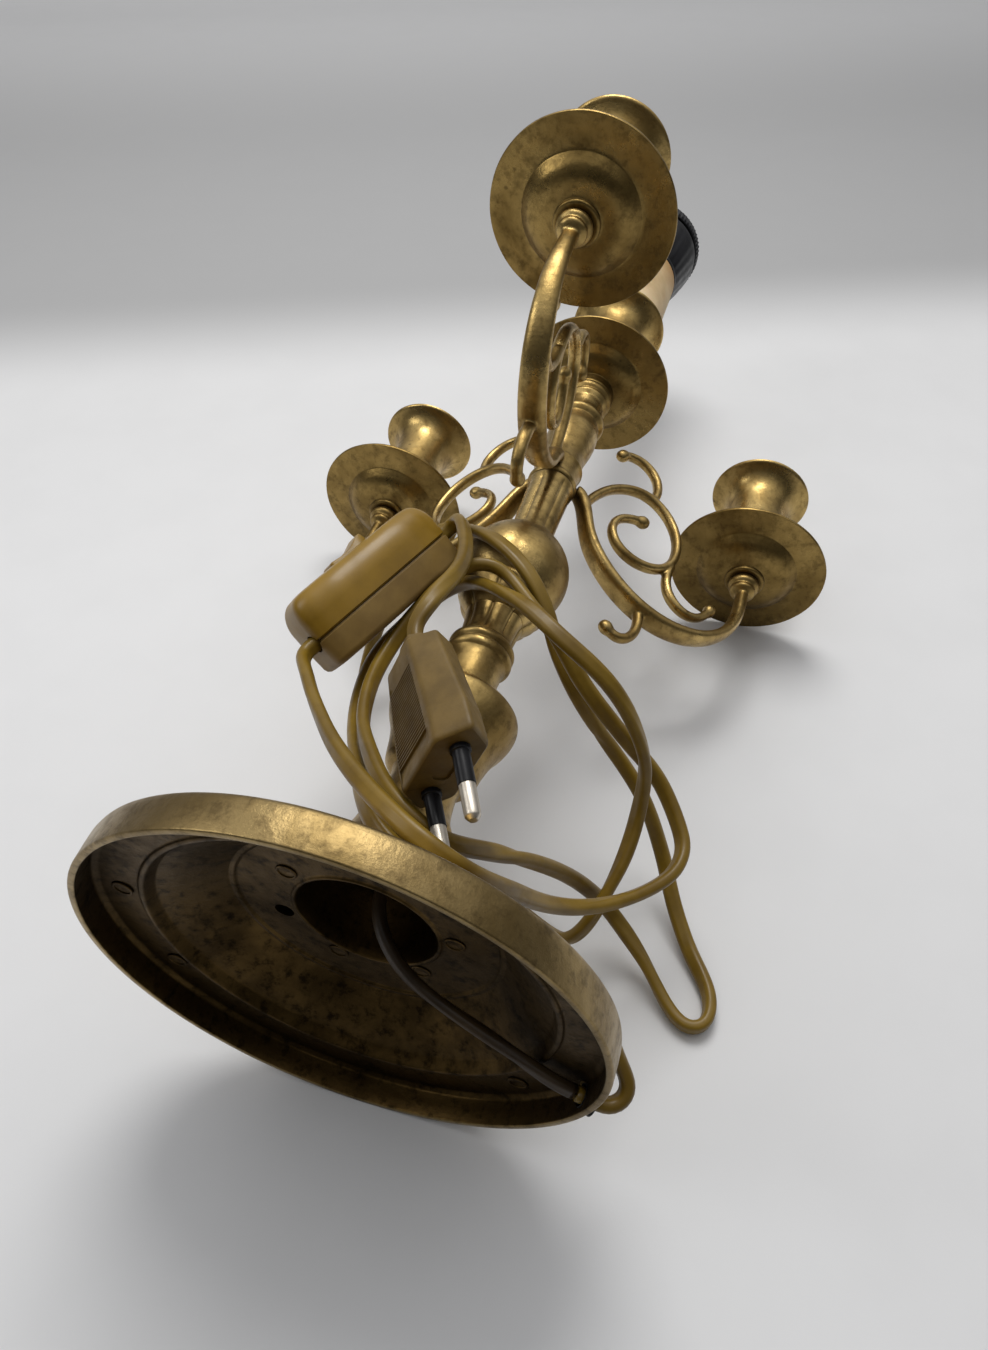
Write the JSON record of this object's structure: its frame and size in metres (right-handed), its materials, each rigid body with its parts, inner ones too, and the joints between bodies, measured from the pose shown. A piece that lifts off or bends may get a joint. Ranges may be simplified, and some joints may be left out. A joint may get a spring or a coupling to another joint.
{
  "type": "candelabra",
  "caption": "Tabletop candelabra lamp in aged brass, lying on its side: dished base, turned column, scroll arms with pans and candle cups, wired central lampholder on a corded plug",
  "frame": {"origin": "table plane under the middle of the candelabra's bounding box, with the mains lead, switch and plug left out", "axes": "+Z is the table normal with the object lying on its side as found; +X runs along the column from the base to the lampholder, parallel to the table within 2 degrees; one arm stands straight up in the XZ plane and the other two reach down to the table at +Y and -Y. To stand the object upright turn it -91.9 degrees about +Y, which brings the column to +Z."},
  "size_m": [0.4134, 0.2078, 0.188],
  "materials": {
    "aged_brass": "cast and turned, polished, patinated in the hollows",
    "socket_brass": "thin drawn sheet",
    "nickel_steel": "plated, bright",
    "black_bakelite": "moulded, semi gloss",
    "ceramic": "unglazed white",
    "cream_sleeve": "cream coated tube, matt",
    "dark_lead": "smooth sheath",
    "gold_cord": "transparent gold flat twin flex",
    "switch_plastic": "moulded, semi gloss top, duller underside",
    "plug_plastic": "moulded, matt"
  },
  "bodies": {
    "stand": {"arm_a": "aged_brass", "arm_b": "aged_brass", "arm_c": "aged_brass", "arm_cup_a": "aged_brass", "arm_cup_b": "aged_brass", "arm_cup_c": "aged_brass", "arm_hub": "aged_brass", "arm_pan_a": "aged_brass", "arm_pan_b": "aged_brass", "arm_pan_c": "aged_brass", "ball_knob": "aged_brass", "base_dish": "aged_brass", "base_nut": "nickel_steel", "base_washer": "nickel_steel", "bead_collar": "aged_brass", "bell_flange": "aged_brass", "candle_sleeve": "cream_sleeve", "centre_contact": "nickel_steel", "centre_cup": "aged_brass", "centre_pan": "aged_brass", "centre_rod": "nickel_steel", "contact_block": "ceramic", "cup_nut_a": "nickel_steel", "cup_nut_b": "nickel_steel", "cup_nut_c": "nickel_steel", "exit_grommet": "black_bakelite", "fluted_waist": "aged_brass", "inner_lead": "dark_lead", "lampholder_body": "black_bakelite", "lampholder_shell": "black_bakelite", "mains_lead_1": "gold_cord", "mains_lead_2": "gold_cord", "plug_body": "plug_plastic", "plug_pin_1": "nickel_steel", "plug_pin_2": "nickel_steel", "socket_screw_shell": "socket_brass", "switch_lower_shell": "switch_plastic", "switch_top_shell": "switch_plastic", "top_neck": "aged_brass", "upper_shaft": "aged_brass"},
    "ring": {"shade_ring": "black_bakelite"},
    "rocker": {"switch_rocker": "switch_plastic"}
  },
  "joints": [
    {"name": "ring_turn", "type": "hinge", "parent": "stand", "child": "ring", "pos_m": [0.19127, 0, 0.07844], "axis": [0.9994, 0, 0.034], "continuous": true},
    {"name": "rocker_tip", "type": "hinge", "parent": "stand", "child": "rocker", "pos_m": [-0.08319, 0.04169, 0.08706], "axis": [0.3093, 0.5523, -0.7741], "range_deg": [0, 16]}
  ]
}
